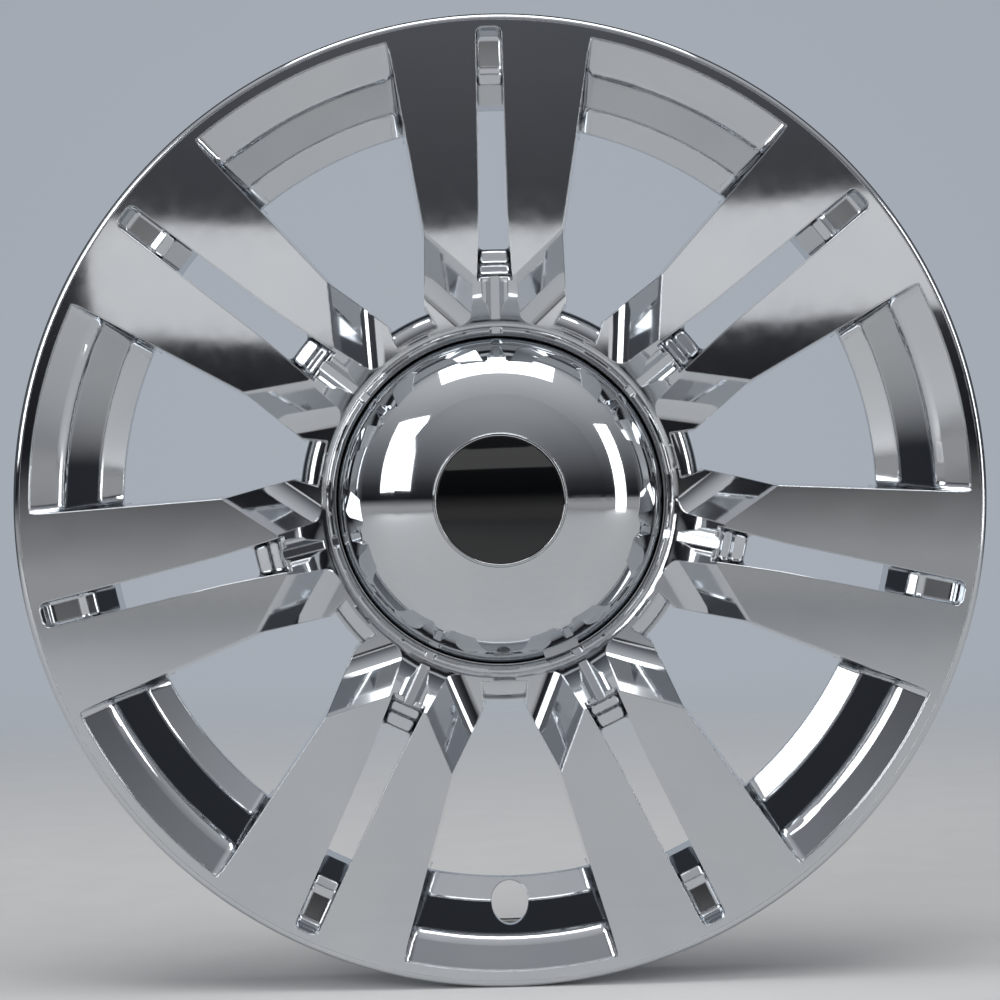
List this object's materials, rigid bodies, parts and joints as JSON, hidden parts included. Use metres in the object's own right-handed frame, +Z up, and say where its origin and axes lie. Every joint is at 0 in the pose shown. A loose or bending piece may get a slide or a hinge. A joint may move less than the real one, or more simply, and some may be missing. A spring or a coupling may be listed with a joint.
{
  "type": "wheel cover",
  "caption": "Round chrome-plated wheel cover with paired spokes, stepped window barrel, clip-in domed centre cap with a plain black emblem, and a wire retention ring behind.",
  "frame": {"origin": "wheel centre, on the plane where the back edge of the cover's rim meets the wheel", "axes": "+Y along the wheel axis, into the wheel, so the front faces -Y; +Z up with the valve hole at the bottom; +X to the right seen from the front"},
  "size_m": [0.48, 0.0637, 0.48],
  "materials": {
    "chrome_plating": "bright chrome plate on moulded ABS",
    "spring_steel": "drawn and zinc-plated spring wire",
    "cap_chrome": "bright chrome plate on moulded ABS",
    "emblem_bright": "bright plated tray",
    "emblem_black": "gloss black domed lens"
  },
  "bodies": {
    "cover": {"cover_moulding": "chrome_plating", "retention_ring": "spring_steel"},
    "cap": {"centre_cap": "cap_chrome", "emblem_tray": "emblem_bright", "emblem_insert": "emblem_black"}
  },
  "joints": [
    {"name": "cap_pull_off", "type": "slide", "parent": "cover", "child": "cap", "axis": [0, -1, 0], "range_m": [0, 0.06]}
  ]
}
